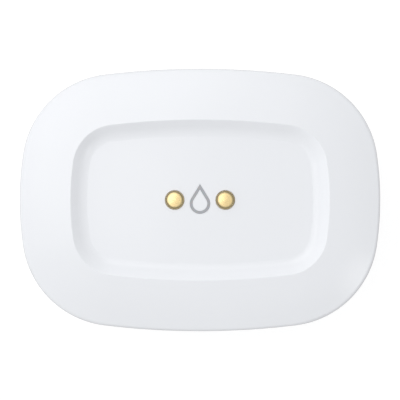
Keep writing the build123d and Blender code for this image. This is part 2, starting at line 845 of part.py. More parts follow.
def place_on_board(shares, length, width, height):
    """Small parts on top of the board, at shares of its half length and half width."""
    return [upright_block(length, width, board_top, board_top + height,
                          x * board_half_length, y * board_half_width)
            for x, y in shares]


def make_capacitors():
    """The larger of the small parts on the board."""
    return place_on_board(capacitor_place_shares, capacitor_length, capacitor_width, capacitor_height)


def make_resistors():
    """The smallest parts on the board."""
    return place_on_board(resistor_place_shares, resistor_length, resistor_width, resistor_height)


def make_switch_body():
    """The push switch at the back of the board, with a well for its plunger."""
    middle = switch_front - switch_depth / 2
    body = upright_block(switch_length, switch_depth, board_top, board_top + switch_height, 0, middle)
    well_height = plunger_height + 2 * plunger_clearance
    well = upright_block(plunger_length + 2 * plunger_clearance, 2 * plunger_well_depth,
                         button_axis - well_height / 2, button_axis + well_height / 2, 0, switch_front)
    return body - well


def make_switch_plunger():
    """The switch's plunger, which moves with the button."""
    back = switch_front - (plunger_well_depth - plunger_stroke_length) / 2
    return upright_block(plunger_length, plunger_tip - back, button_axis - plunger_height / 2,
                         button_axis + plunger_height / 2, 0, (back + plunger_tip) / 2)


def make_pair_button():
    """The button: a pill-shaped cap in the back wall, a flange behind it and a stem to the plunger."""
    cap = button_bar(0, flange_front, body_width / 2 - button_recess_depth)
    cap = fillet(cap.edges().group_by(Axis.Y)[-1], button_edge_radius)
    stem = pill_bar(plunger_length, plunger_height, plunger_tip, flange_back, button_axis)
    return cap + button_bar(button_flange_width, flange_back, flange_front) + stem


def make_button_seal():
    """The seal between the button's flange and the back wall."""
    low = flange_front + button_seal_gap
    hole = button_bar(button_clearance, low, cover_inner_y)
    return button_bar(button_flange_width, low, cover_inner_y) - hole


def make_all():
    """Every sub-part by the name of its node."""
    foot_x, foot_y = foot_place()
    feet = {
        "foot_probe_front_left": (-foot_x, -foot_y),
        "foot_probe_front_right": (foot_x, -foot_y),
        "foot_probe_back_left": (-foot_x, foot_y),
        "foot_probe_back_right": (foot_x, foot_y),
    }
    parts = {
        "top_cover": make_top_cover(),
        "bottom_case": make_bottom_case(),
        "case_gasket": make_case_gasket(),
        "case_screws": make_case_screws(),
        "screw_plugs": make_screw_plugs(),
        "battery_door": make_battery_door(),
        "door_seal": make_door_seal(),
        "cell_can": make_cell_can(),
        "cell_insulator": make_cell_insulator(),
        "cell_cap": make_cell_cap(),
        "cell_filling": make_cell_filling(),
        "probe_left": make_probe(-1),
        "probe_right": make_probe(1),
        "probe_seals": make_probe_seals(),
        "probe_clips": make_probe_clips(),
        "probe_contacts": make_probe_contacts(),
        "foot_seals": make_foot_seals(),
        "foot_clips": make_foot_clips(),
        "foot_contacts": make_foot_contacts(),
        "positive_contact": make_positive_contact(),
        "negative_contact": make_negative_contact(),
        "drop_inlay": make_drop_inlay(),
        "light_guide": make_light_guide(),
        "main_board": make_main_board(),
        "board_screws": make_board_screws(),
        "radio_shield": make_radio_shield(),
        "radio_chip": make_radio_chip(),
        "crystal": make_crystal(),
        "antenna": make_antenna(),
        "status_led": make_status_led(),
        "capacitors": make_capacitors(),
        "resistors": make_resistors(),
        "switch_body": make_switch_body(),
        "switch_plunger": make_switch_plunger(),
        "pair_button": make_pair_button(),
        "button_seal": make_button_seal(),
    }
    for name, (x, y) in feet.items():
        parts[name] = make_foot_probe(x, y)
    return parts


os.makedirs("parts", exist_ok=True)
for name, part in make_all().items():
    shape = Compound(children=part) if isinstance(part, list) else part
    export_step(shape, f"parts/{name}.step")
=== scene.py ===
"""The looks of a small water leak sensor with a dished top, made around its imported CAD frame."""

import math

import bmesh
import bpy
from bpy.props import FloatProperty, FloatVectorProperty, PointerProperty
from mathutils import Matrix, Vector


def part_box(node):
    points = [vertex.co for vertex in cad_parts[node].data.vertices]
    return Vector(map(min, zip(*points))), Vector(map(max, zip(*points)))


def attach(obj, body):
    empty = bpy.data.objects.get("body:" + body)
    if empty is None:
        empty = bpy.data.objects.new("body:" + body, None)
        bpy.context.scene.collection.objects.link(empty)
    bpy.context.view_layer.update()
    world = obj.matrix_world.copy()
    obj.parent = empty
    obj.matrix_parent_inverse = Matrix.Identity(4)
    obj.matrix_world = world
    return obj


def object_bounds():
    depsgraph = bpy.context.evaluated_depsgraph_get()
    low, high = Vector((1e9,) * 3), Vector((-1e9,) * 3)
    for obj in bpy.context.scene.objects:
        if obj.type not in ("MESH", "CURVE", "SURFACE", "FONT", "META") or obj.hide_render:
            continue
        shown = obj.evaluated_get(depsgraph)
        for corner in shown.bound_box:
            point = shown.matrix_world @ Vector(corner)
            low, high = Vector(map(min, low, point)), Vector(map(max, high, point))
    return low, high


bl_info = {
    "name": "Water Leak Sensor",
    "version": (1, 0, 0),
    "blender": (4, 5, 0),
    "location": "View3D > Sidebar > Leak Sensor",
    "description": "Finishes and fine parts for the frame of a small water leak sensor",
    "category": "Object",
}

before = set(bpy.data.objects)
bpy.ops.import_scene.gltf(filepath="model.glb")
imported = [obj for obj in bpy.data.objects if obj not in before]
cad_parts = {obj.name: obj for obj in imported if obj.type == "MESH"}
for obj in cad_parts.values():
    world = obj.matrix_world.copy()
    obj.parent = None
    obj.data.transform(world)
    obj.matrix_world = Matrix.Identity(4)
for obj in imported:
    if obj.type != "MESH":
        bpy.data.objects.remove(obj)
cad_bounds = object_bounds()

MILLIMETRE = 0.001
MICRON = 0.001 * MILLIMETRE
# Where most of a noise texture's values lie
NOISE_LOW, NOISE_HIGH = 0.3, 0.7
# How far the roughness of the mouldings and the plating strays from its middle
ROUGHNESS_STRAY = 0.03
# Each screw's shank radius, thread pitch and bare lengths below and above the thread, in millimetres
THREADS = {"case_screws": (1.0, 0.8, 2.4, 0.7), "board_screws": (0.8, 0.6, 0.2, 1.6)}
THREAD_CREST = 0.1 * MILLIMETRE
THREAD_FLANK_SHARE = 0.36
# The plus sign stamped into the cell: half of each arm's sides in millimetres, its depth and its rounding
PLUS_ARMS = ((2.2, 0.45), (0.45, 2.2))
PLUS_DEPTH = 0.05 * MILLIMETRE
PLUS_ROUNDING = 0.04 * MILLIMETRE
# Tinned caps on the chip parts: the share of a part that each covers, and their thickness
CAP_SHARES = {"capacitors": 0.24, "resistors": 0.22, "antenna": 0.1}
CAP_SKIN = 0.02 * MILLIMETRE
# Solder pads: how far they reach past a part's end, and past its sides
PAD_REACH = 0.34 * MILLIMETRE
PAD_MARGIN = 0.08 * MILLIMETRE
# Solder fillets: how much of a part's height they climb, and the turns of their hollow curve
FILLET_SHARE = 0.6
FILLET_TURNS = (0.0, 0.4, 0.8, 1.2, math.pi / 2)
# Each track's corners on the board, in millimetres from its middle
TRACKS = (
    ((-12.6, 1.3), (-12.6, -2.0), (-11.8, -2.8)),
    ((-8.0, 1.3), (-8.0, -2.4), (-8.4, -2.8)),
    ((-5.5, 1.9), (-4.3, 1.9), (-3.9, 1.5), (-3.9, 0.5)),
    ((-5.5, 3.0), (1.6, 3.0), (3.6, 1.0), (3.6, 0.5)),
    ((-5.5, 4.0), (5.2, 4.0), (6.9, 2.3), (7.1, 2.3)),
    ((-5.5, 5.02), (7.2, 5.02)),
    ((8.0, 2.28), (8.9, 2.28), (9.7, 1.52), (9.8, 1.52)),
    ((10.6, 1.52), (12.4, 1.52)),
    ((8.7, 5.02), (9.9, 5.02)),
    ((11.4, 5.02), (12.6, 5.02)),
    ((7.1, 0.91), (5.7, 0.91), (5.3, 0.5), (4.8, 0.5)),
    ((-5.5, 8.36), (3.7, 8.36)),
    ((5.2, 8.36), (5.9, 8.36), (6.6, 7.66), (7.6, 7.66)),
    ((-1.5, 12.7), (-1.5, 10.2), (-2.7, 9.0), (-5.5, 9.0)),
    ((-0.7, 0.0), (-1.3, 0.0), (-1.9, 0.6), (-1.9, 2.0)),
    ((0.7, 0.0), (1.4, 0.0), (1.6, -0.2), (1.6, -4.3), (2.47, -5.17), (2.7, -5.17)),
    ((3.5, -5.17), (4.6, -5.17), (5.51, -6.08), (6.0, -6.08)),
    ((-3.2, -12.7), (-3.2, -9.0), (-3.84, -8.36), (-4.2, -8.36)),
    ((-5.6, -8.36), (-6.1, -8.36), (-6.6, -7.86), (-6.6, -7.4), (-7.0, -7.0), (-7.1, -7.0)),
    ((-7.9, -6.99), (-8.9, -6.99)),
    ((-9.7, -6.99), (-12.9, -6.99), (-13.9, -5.99), (-13.9, 1.3)),
    ((1.4, -7.3), (-1.0, -7.3), (-2.2, -6.1), (-2.2, -1.6)),
    ((2.2, -7.3), (4.2, -7.3)),
    ((7.3, -6.08), (9.6, -6.08), (10.6, -5.08), (10.6, -2.4)),
)
TRACK_HOLES = ((7.6, 7.66), (-1.9, 2.0), (-2.2, -1.6), (4.2, -7.3), (10.6, -2.4))
# The radii and heights of the solder dome that fills a hole, in millimetres
HOLE_DOME = ((0.28, -0.03), (0.28, 0.03), (0.2, 0.05), (0.1, 0.055), (0.03, 0.057))
# The probes with each gold, led by the one at positive X and Y, where the lathe marks' axis is measured
PROBES = {
    "dish_probe_gold": ("probe_right", "probe_left"),
    "foot_gold": ("foot_probe_back_right", "foot_probe_back_left",
                  "foot_probe_front_right", "foot_probe_front_left"),
}
# Corners of a mesh that agree to this many decimals of a metre are one
WELD_DECIMALS = 7
# The camera: its sensor's width, and how far below the top the width of the view is measured
SENSOR_WIDTH = 36.0
VIEW_LEVEL = 2 * MILLIMETRE
# The floor: half its side, the grey that the object is lit by, and the white that its glow is a part of
FLOOR_REACH = 3.0
FLOOR_GREY = 0.8
FLOOR_WHITE = 1.12


def hue(name, text, default):
    """A colour property, in linear red, green and blue."""
    return FloatVectorProperty(name=name, description=text, subtype="COLOR", min=0, max=1, default=default)


def length(name, text, default):
    """A length property, in metres."""
    return FloatProperty(name=name, description=text, subtype="DISTANCE", unit="LENGTH", precision=5,
                         default=default)


def amount(name, text, default, low=0.0, high=1.0):
    """A plain number between two limits."""
    return FloatProperty(name=name, description=text, min=low, max=high, default=default)


def watts(name, text, default):
    """A lamp's power, in watts."""
    return FloatProperty(name=name, description=text, subtype="POWER", unit="POWER", default=default)


def position(name, text, default):
    """A place, in metres."""
    return FloatVectorProperty(name=name, description=text, subtype="XYZ", unit="LENGTH", default=default)


def facing(name, text, default):
    """The way that something faces, as turns about the three axes, in radians."""
    return FloatVectorProperty(name=name, description=text, subtype="EULER", unit="ROTATION",
                               default=default)


def extent(name, text, default):
    """A width and a height, in metres."""
    return FloatVectorProperty(name=name, description=text, size=2, unit="LENGTH", precision=4,
                               default=default)


# Settings


class HousingLook(bpy.types.PropertyGroup):
    """Finish of the white mouldings"""

    white: hue("White", "Colour of the cover, case, door and button", (0.852, 0.869, 0.902))
    roughness: amount("Roughness", "Middle roughness of the moulded skin", 0.22)
    grain: length("Grain", "Size of the grain that the mould leaves", 0.00012)
    grain_depth: length("Grain depth", "Height of that grain", 0.0000012)
    # The edge grey is painted shade, a grey band along the cover's outer edge; the three settings below
    # place it
    edge_shade_grey: hue("Edge grey", "Colour of the cover's edge, dulled by handling", (0.745, 0.755, 0.775))
    edge_drop: length("Edge drop", "Depth of the dulled edge below the top of the rim", 0.00136)
    edge_band: length("Edge band", "Half the height of the dulled edge", 0.0003)
    edge_reach: amount("Edge reach", "Share of the way to the outline where it begins", 0.93)


class ProbeLook(bpy.types.PropertyGroup):
    """Finish of the gold plated probes"""

    gold: hue("Gold", "Colour of the gold plating", (0.75, 0.585, 0.30))
    # The edge colour is painted shade on each head's rim, where it turns down into its seat; the three
    # shares below place it
    edge: hue("Edge", "Colour of the plating where it turns down into its seat", (0.21, 0.18, 0.107))
    edge_start: amount("Edge start", "Share of a head's radius at which it starts to darken", 0.61)
    edge_end: amount("Edge end", "Share of a head's radius at which it is darkest", 0.89)
    edge_rise: amount("Edge rise", "Share of a head's radius at which it is as pale as in the middle", 1.0)
    roughness: amount("Roughness", "Roughness of the plating", 0.24)
    turning: length("Turning pitch", "Distance between the marks that the lathe leaves", 0.00007)


class BoardLook(bpy.types.PropertyGroup):
    """Finish of the circuit board"""

    lacquer: hue("Lacquer", "Colour of the lacquer on bare board", (0.011, 0.105, 0.048))
    covered_copper: hue("Covered copper", "Colour of the lacquer over a track", (0.022, 0.19, 0.075))
    track_width: length("Track width", "Width of a copper track", 0.00024)
    copper: length("Copper", "Thickness of the tracks and pads", 0.00003)


class StageLook(bpy.types.PropertyGroup):
    """Camera, floor and lights"""

    lens: FloatProperty(name="Lens", description="Focal length of the camera", subtype="DISTANCE_CAMERA",
                        default=300.0)
    view_width: length("View width", "Width of the picture at the cover's rim", 0.05675)
    key_power: watts("Key", "Power of the soft box", 0.046)
    key_size: extent("Key size", "Width and height of the soft box", (0.106, 0.085))
    key_place: position("Key place", "Middle of the soft box", (-0.039, 0.041, 0.140))
    key_turn: facing("Key turn", "Way that the soft box faces", (0.314, -0.224, -1.781))
    card_power: watts("Card", "Power of the small card at the front right", 0.0102)
    card_size: extent("Card size", "Width and height of the card", (0.0305, 0.0305))
    card_place: position("Card place", "Middle of the card", (0.0797, -0.0434, 0.1412))
    card_turn: facing("Card turn", "Way that the card faces", (0.492, 0.0, 1.081))
    fill_level: amount("Fill", "Level of the light from the walls", 0.925, 0.0, 2.0)
    fill_lean: FloatVectorProperty(name="Fill lean", subtype="XYZ", default=(-0.33, 0.18, -0.29),
                                   description="How the walls' light grows to each side and up")
    floor_glow: amount("Floor glow", "Share of the floor's white that shadows don't reach", 0.8)


# Finishes


class Finish:
    """A material under construction: its shader, and short ways to add nodes to it."""

    def __init__(self, name, colour, roughness, **sockets):
        self.material = bpy.data.materials.new(name)
        self.material.use_nodes = True
        self.tree = self.material.node_tree
        self.shader = self.tree.nodes["Principled BSDF"]
        self.shader.inputs["Base Color"].default_value = (*colour, 1)
        self.shader.inputs["Roughness"].default_value = roughness
        for socket, value in sockets.items():
            self.shader.inputs[socket.replace("_", " ")].default_value = value
        self.place = self.add("ShaderNodeTexCoord").outputs["Object"]

    def add(self, kind, inputs=(), **settings):
        """A node with its settings, and its inputs by name or number as values or links."""
        node = self.tree.nodes.new(kind)
        for setting, value in settings.items():
            setattr(node, setting, value)
        for socket, value in dict(inputs).items():
            if isinstance(value, bpy.types.NodeSocket):
                self.tree.links.new(value, node.inputs[socket])
            else:
                node.inputs[socket].default_value = value
        return node

    def work_out(self, operation, *values):
        """The result of a calculation with numbers or links."""
        return self.add("ShaderNodeMath", enumerate(values), operation=operation).outputs[0]

    def noise(self, size, detail=2.0, place=None):
        """A cloudy value with features of a size, in metres."""
        inputs = {"Vector": place or self.place, "Scale": 1 / size, "Detail": detail}
        return self.add("ShaderNodeTexNoise", inputs).outputs["Fac"]

    def cells(self, size):
        """A value that grows from the middle of each small cell to its edge."""
        inputs = {"Vector": self.place, "Scale": 1 / size}
        return self.add("ShaderNodeTexVoronoi", inputs).outputs["Distance"]

    def stretch(self, value, low, high):
        """A cloudy value stretched to lie between two others."""
        inputs = {"Value": value, "From Min": NOISE_LOW, "From Max": NOISE_HIGH,
                  "To Min": low, "To Max": high}
        return self.add("ShaderNodeMapRange", inputs).outputs["Result"]

    def reach(self, centre=(0, 0)):
        """The distance from upright axes at centre and its mirror images."""
        axes = self.add("ShaderNodeSeparateXYZ", {0: self.place})
        across = [self.work_out("SUBTRACT", self.work_out("ABSOLUTE", axes.outputs[i]), centre[i])
                  for i in (0, 1)]
        squares = [self.work_out("MULTIPLY", value, value) for value in across]
        return self.work_out("SQRT", self.work_out("ADD", *squares))

    def rings(self, pitch, centre=(0, 0)):
        """Fine rings round upright axes at centre and its mirror images, with a little waver."""
        waver = self.work_out("MULTIPLY", self.noise(pitch * 6), pitch)
        wavy = self.work_out("ADD", self.reach(centre), waver)
        return self.work_out("SINE", self.work_out("MULTIPLY", wavy, 2 * math.pi / pitch))

    def between(self, value, low, high):
        """Nought below low, one above high and a smooth rise from one to the other."""
        inputs = {"Value": value, "From Min": low, "From Max": high}
        return self.add("ShaderNodeMapRange", inputs, interpolation_type="SMOOTHSTEP").outputs["Result"]

    def tint(self, value, first, second):
        """The base colour as a blend of two colours by a value."""
        mix = self.add("ShaderNodeMix", {"Factor": value}, data_type="RGBA")
        below, above = (socket for socket in mix.inputs if socket.type == "RGBA")
        below.default_value, above.default_value = (*first, 1), (*second, 1)
        blend = next(socket for socket in mix.outputs if socket.type == "RGBA")
        self.tree.links.new(blend, self.shader.inputs["Base Color"])
        return below

    def paint_shade(self, value, colour):
        """Blends a painted shade colour over the base colour where a value nears one."""
        clean = self.shader.inputs["Base Color"].links[0].from_socket
        self.tree.links.new(clean, self.tint(value, colour, colour))

    def roughen(self, value, low, high):
        """Roughness that follows a cloudy value between two levels."""
        self.tree.links.new(self.stretch(value, low, high), self.shader.inputs["Roughness"])

    def emboss(self, value, depth):
        """A bump of a depth, in metres, that follows a value."""
        bump = self.add("ShaderNodeBump", {"Height": value, "Distance": depth, "Strength": 1.0})
        self.tree.links.new(bump.outputs["Normal"], self.shader.inputs["Normal"])


def shade(colour, factor):
    """A colour made lighter or darker by a factor."""
    return tuple(min(1.0, part * factor) for part in colour)


def white_moulding(name, corner=None):
    """Satin white plastic with a mould's fine grain, and a grey band of painted shade along the outer edge
    below a top corner.
    """
    look = bpy.context.scene.housing_look
    white = Finish(name, look.white, look.roughness, IOR=1.46)
    white.tint(white.noise(11 * MILLIMETRE), shade(look.white, 0.99), shade(look.white, 1.01))
    if corner:
        # Painted shade: a grey band round the cover's outer edge, just below the top of its rim
        height = white.add("ShaderNodeSeparateXYZ", {0: white.place}).outputs["Z"]
        away = white.work_out("ABSOLUTE", white.work_out("SUBTRACT", height, corner.z - look.edge_drop))
        shade_band = white.work_out("SUBTRACT", 1.0, white.between(away, look.edge_band / 3, look.edge_band))
        scale = (1 / corner.x, 1 / corner.y, 0)
        shares = white.add("ShaderNodeMapping", {"Vector": white.place, "Scale": scale}).outputs[0]
        outward = white.add("ShaderNodeVectorMath", {0: shares}, operation="LENGTH").outputs["Value"]
        outer = white.work_out("GREATER_THAN", outward, look.edge_reach)
        white.paint_shade(white.work_out("MULTIPLY", shade_band, outer), look.edge_shade_grey)
    grain = white.noise(look.grain, 3.0)
    white.roughen(grain, look.roughness - ROUGHNESS_STRAY, look.roughness + ROUGHNESS_STRAY)
    white.emboss(grain, look.grain_depth)
    return white.material


def gold_plating(name, centre, radius):
    """Gold on turned brass with painted shade darkening each head towards its edge, and fine lathe rings
    about each stud's axis.
    """
    look = bpy.context.scene.probe_look
    gold = Finish(name, look.gold, look.roughness, Metallic=1.0)
    # Painted shade: the gold darkens towards each head's rim and pales again at its very edge
    reach = gold.reach(centre)
    painted_shade = gold.between(reach, look.edge_start * radius, look.edge_end * radius)
    paler = gold.between(reach, look.edge_end * radius, look.edge_rise * radius)
    gold.tint(gold.work_out("SUBTRACT", painted_shade, paler), look.gold, look.edge)
    wear = gold.noise(300 * MICRON, 4.0)
    gold.roughen(wear, look.roughness - ROUGHNESS_STRAY, look.roughness + ROUGHNESS_STRAY)
    gold.emboss(gold.rings(look.turning, centre), 0.3 * MICRON)
    return gold.material


def drop_filler():
    """The grey, slightly milky plastic of the drop sign."""
    grey = (0.395, 0.405, 0.43)
    filler = Finish("drop_filler", grey, 0.3, Subsurface_Weight=0.15, Subsurface_Scale=200 * MICRON)
    filler.tint(filler.noise(600 * MICRON), shade(grey, 0.97), shade(grey, 1.03))
    filler.emboss(filler.noise(80 * MICRON), 0.8 * MICRON)
    return filler.material


def silicone(name, colour):
    """Moulded silicone: matt, with dust-fine texture and a soft sheen."""
    rubber = Finish(name, colour, 0.62, Sheen_Weight=0.25, Sheen_Roughness=0.5)
    rubber.tint(rubber.noise(2 * MILLIMETRE), shade(colour, 0.88), shade(colour, 1.12))
    pores = rubber.noise(60 * MICRON, 4.0)
    rubber.roughen(pores, 0.55, 0.7)
    rubber.emboss(pores, 3 * MICRON)
    return rubber.material


def rolled_steel(name, colour, low=0.22, high=0.38):
    """Plated steel strip with long, fine rolling marks along X."""
    steel = Finish(name, colour, low, Metallic=1.0)
    stretched = steel.add("ShaderNodeMapping", {"Vector": steel.place, "Scale": (0.06, 1.0, 1.0)}).outputs[0]
    marks = steel.noise(50 * MICRON, 3.0, stretched)
    steel.tint(steel.noise(1.4 * MILLIMETRE), shade(colour, 0.93), shade(colour, 1.04))
    steel.roughen(marks, low, high)
    steel.emboss(marks, 1.5 * MICRON)
    return steel.material


def zinc_plating():
    """Blue-white zinc on the screws and clips, with small crystals."""
    colour = (0.62, 0.64, 0.68)
    zinc = Finish("zinc_plating", colour, 0.3, Metallic=1.0)
    crystals = zinc.cells(250 * MICRON)
    zinc.tint(crystals, shade(colour, 0.88), shade(colour, 1.08))
    zinc.roughen(zinc.noise(400 * MICRON, 3.0), 0.24, 0.42)
    zinc.emboss(crystals, 4 * MICRON)
    return zinc.material


def spun_nickel():
    """The coin cell's nickel, with faint rings about its middle."""
    colour = (0.70, 0.69, 0.66)
    nickel = Finish("spun_nickel", colour, 0.2, Metallic=1.0)
    nickel.tint(nickel.noise(4 * MILLIMETRE), shade(colour, 0.94), shade(colour, 1.04))
    nickel.roughen(nickel.noise(500 * MICRON, 4.0), 0.14, 0.3)
    nickel.emboss(nickel.rings(120 * MICRON), 1.2 * MICRON)
    return nickel.material


def dark_plastic(name, colour, roughness=0.5):
    """Glass filled black or dark plastic, with pale fibre specks."""
    plastic = Finish(name, colour, roughness)
    specks = plastic.noise(90 * MICRON, 5.0)
    plastic.tint(plastic.stretch(specks, 0.0, 1.0), colour, shade(colour, 1.5))
    plastic.roughen(specks, roughness - 0.07, roughness + 0.08)
    plastic.emboss(specks, 3 * MICRON)
    return plastic.material


def fired_ceramic(name, colour):
    """Ceramic with a fine, slightly pitted skin."""
    ceramic = Finish(name, colour, 0.45)
    pits = ceramic.cells(70 * MICRON)
    ceramic.tint(ceramic.noise(500 * MICRON), shade(colour, 0.9), shade(colour, 1.08))
    ceramic.roughen(ceramic.noise(100 * MICRON), 0.38, 0.52)
    ceramic.emboss(pits, 3 * MICRON)
    return ceramic.material


def pressed_powder():
    """The dark powder pellet in the coin cell."""
    colour = (0.055, 0.055, 0.06)
    powder = Finish("pressed_powder", colour, 0.85)
    grains = powder.noise(50 * MICRON, 6.0)
    powder.tint(powder.stretch(grains, 0.0, 1.0), shade(colour, 0.6), shade(colour, 2.4))
    powder.emboss(grains, 10 * MICRON)
    return powder.material


def frosted_clear():
    """The light guide's clear plastic with a frosted skin."""
    clear = Finish("frosted_clear", (0.88, 0.93, 0.96), 0.4, Transmission_Weight=0.85, IOR=1.49)
    frost = clear.noise(40 * MICRON, 3.0)
    clear.roughen(frost, 0.32, 0.5)
    clear.emboss(frost, 2 * MICRON)
    return clear.material


def solder_mask(name, green):
    """Green lacquer on glass cloth: the weave shows as a faint grid."""
    pitch = 500 * MICRON
    mask = Finish(name, green, 0.28, Coat_Weight=0.3, Coat_Roughness=0.12)
    axes = mask.add("ShaderNodeSeparateXYZ", {0: mask.place})
    threads = [mask.work_out("SINE", mask.work_out("MULTIPLY", axes.outputs[i], 2 * math.pi / pitch))
               for i in (0, 1)]
    weave = mask.work_out("MULTIPLY", *threads)
    mask.tint(mask.noise(3 * MILLIMETRE), shade(green, 0.85), shade(green, 1.2))
    mask.roughen(mask.noise(400 * MICRON), 0.24, 0.34)
    mask.emboss(weave, 3 * MICRON)
    return mask.material


def bright_solder():
    """Solder and tinned end caps: bright, a little orange-peeled."""
    tin = (0.78, 0.78, 0.76)
    solder = Finish("bright_solder", tin, 0.2, Metallic=1.0)
    peel = solder.noise(200 * MICRON, 2.0)
    solder.tint(peel, shade(tin, 0.9), shade(tin, 1.06))
    solder.roughen(solder.noise(150 * MICRON), 0.14, 0.3)
    solder.emboss(peel, 6 * MICRON)
    return solder.material


def lamp_resin():
    """The lamp's milky yellow-white resin."""
    resin = (0.86, 0.84, 0.62)
    lamp = Finish("lamp_resin", resin, 0.2, Subsurface_Weight=0.3, Subsurface_Scale=200 * MICRON)
    lamp.tint(lamp.noise(200 * MICRON), shade(resin, 0.94), shade(resin, 1.04))
    lamp.roughen(lamp.noise(100 * MICRON), 0.15, 0.28)
    return lamp.material


def dress(material, *nodes):
    """Gives CAD nodes a material."""
    for node in nodes:
        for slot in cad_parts[node].material_slots:
            slot.material = material


# Meshes


def solids_of(node):
    """The lowest and highest corners of each separate solid of a CAD node."""
    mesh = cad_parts[node].data
    spots = [tuple(round(part, WELD_DECIMALS) for part in vertex.co) for vertex in mesh.vertices]
    leader = {spot: spot for spot in spots}

    def follow(spot):
        while leader[spot] != spot:
            leader[spot] = leader[leader[spot]]
            spot = leader[spot]
        return spot

    for polygon in mesh.polygons:
        first, *others = (follow(spots[i]) for i in polygon.vertices)
        for other in others:
            leader[follow(other)] = follow(first)
    groups = {}
    for spot in leader:
        groups.setdefault(follow(spot), []).append(spot)
    boxes = [(Vector(map(min, *group)), Vector(map(max, *group))) for group in groups.values()]
    return sorted(boxes, key=lambda box: tuple(box[0]))


def add_piece(name, work, material, body):
    """Turns finished mesh work into a piece that rides on a body."""
    bmesh.ops.recalc_face_normals(work, faces=work.faces)
    mesh = bpy.data.meshes.new(name)
    work.to_mesh(mesh)
    work.free()
    for polygon in mesh.polygons:
        polygon.use_smooth = True
    mesh.materials.append(material)
    piece = bpy.data.objects.new(name, mesh)
    bpy.context.scene.collection.objects.link(piece)
    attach(piece, body)


def skin_rings(work, rings):
    """A closed form from rings of points, each ring with as many points as the last."""
    rows = [[work.verts.new(point) for point in ring] for ring in rings]
    for row, above in zip(rows, rows[1:]):
        for i, vertex in enumerate(row):
            j = (i + 1) % len(row)
            work.faces.new((vertex, row[j], above[j], above[i]))
    work.faces.new(reversed(rows[0]))
    work.faces.new(rows[-1])


def turned(work, profile, centre, segments=24):
    """A closed turned form: profile points of (radius, height) swept about an upright axis."""
    angles = [2 * math.pi * i / segments for i in range(segments)]
    rings = [[(centre[0] + radius * math.cos(a), centre[1] + radius * math.sin(a), height) for a in angles]
             for radius, height in profile]
    skin_rings(work, rings)


def helix_ridge(work, centre, radius, crest, pitch, low, high, segments=28):
    """A screw thread: a three-cornered ridge that winds up a shank and runs out at both ends."""
    turns = (high - low) / pitch - 1
    count = int(turns * segments)
    rings = []
    for i in range(count + 1):
        angle = 2 * math.pi * i / segments
        height = low + pitch / 2 + pitch * i / segments
        fade = min(1.0, i / segments, (count - i) / segments)
        tip = radius + crest * fade
        inner = radius - crest / 2
        flank = pitch * THREAD_FLANK_SHARE
        corners = [(inner, -flank), (tip, 0), (inner, flank)]
        across, along = math.cos(angle), math.sin(angle)
        rings.append([(centre[0] + reach * across, centre[1] + reach * along, height + rise)
                      for reach, rise in corners])
    skin_rings(work, rings)


def strip(work, points, width, low, high):
    """A flat strip with mitred corners along a line of points, between two heights."""
    runs = [(after - before).normalized() for before, after in zip(points, points[1:])]
    rings = []
    for i, point in enumerate(points):
        before, after = runs[max(i - 1, 0)], runs[min(i, len(runs) - 1)]
        middle = (before + after).normalized()
        across = Vector((-middle.y, middle.x)) * width / 2 / middle.dot(before)
        left, right = point + across, point - across
        rings.append([(*left, low), (*right, low), (*right, high), (*left, high)])
    skin_rings(work, rings)


def rounded_block(work, low, high, bevel, segments=3):
    """A block between two corners with all edges rounded."""
    made = bmesh.ops.create_cube(work, size=1)
    middle = (Vector(low) + Vector(high)) / 2
    size = Vector(high) - Vector(low)
    bmesh.ops.scale(work, vec=size, verts=made["verts"])
    bmesh.ops.translate(work, vec=middle, verts=made["verts"])
    edges = {edge for vertex in made["verts"] for edge in vertex.link_edges}
    bmesh.ops.bevel(work, geom=list(edges), offset=bevel, segments=segments, affect="EDGES", profile=0.5)


# Pieces


class LEAKSENSOR_OT_housing(bpy.types.Operator):
    """Give the cover, case, door and button their white moulded finish"""

    bl_idname = "leak_sensor.housing"
    bl_label = "Housing"

    def execute(self, context):
        dress(white_moulding("cover_moulding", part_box("top_cover")[1]), "top_cover")
        dress(white_moulding("case_moulding"), "bottom_case", "battery_door", "pair_button")
        return {"FINISHED"}


class LEAKSENSOR_OT_probes(bpy.types.Operator):
    """Plate the two probes in the dish and the four feet with gold"""

    bl_idname = "leak_sensor.probes"
    bl_label = "Probes"

    def execute(self, context):
        for group, nodes in PROBES.items():
            low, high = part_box(nodes[0])
            dress(gold_plating(group, tuple((low + high) / 2)[:2], (high.x - low.x) / 2), *nodes)
        return {"FINISHED"}


class LEAKSENSOR_OT_drop_sign(bpy.types.Operator):
    """Fill the drop sign with grey and frost the light guide and lamp below it"""

    bl_idname = "leak_sensor.drop_sign"
    bl_label = "Drop Sign"

    def execute(self, context):
        dress(drop_filler(), "drop_inlay")
        dress(frosted_clear(), "light_guide")
        dress(lamp_resin(), "status_led")
        return {"FINISHED"}


class LEAKSENSOR_OT_seals(bpy.types.Operator):
    """Give the seals and the screw plugs their silicone"""

    bl_idname = "leak_sensor.seals"
    bl_label = "Seals and Plugs"

    def execute(self, context):
        dark = silicone("dark_silicone", (0.022, 0.025, 0.03))
        dress(dark, "case_gasket", "door_seal", "probe_seals", "foot_seals", "button_seal")
        dress(silicone("grey_silicone", (0.66, 0.68, 0.71)), "screw_plugs")
        return {"FINISHED"}


class LEAKSENSOR_OT_fasteners(bpy.types.Operator):
    """Plate the screws and clips, and wind a thread round each screw"""

    bl_idname = "leak_sensor.fasteners"
    bl_label = "Screws and Clips"

    def execute(self, context):
        zinc = zinc_plating()
        dress(zinc, "case_screws", "board_screws", "probe_clips", "foot_clips")
        for node, measures in THREADS.items():
            shank, pitch, low_gap, high_gap = (measure * MILLIMETRE for measure in measures)
            work = bmesh.new()
            for low, high in solids_of(node):
                start, end = low.z + low_gap, high.z - high_gap
                helix_ridge(work, (low + high) / 2, shank, THREAD_CREST, pitch, start, end)
            add_piece(node[:-1] + "_threads", work, zinc, "case")
        return {"FINISHED"}


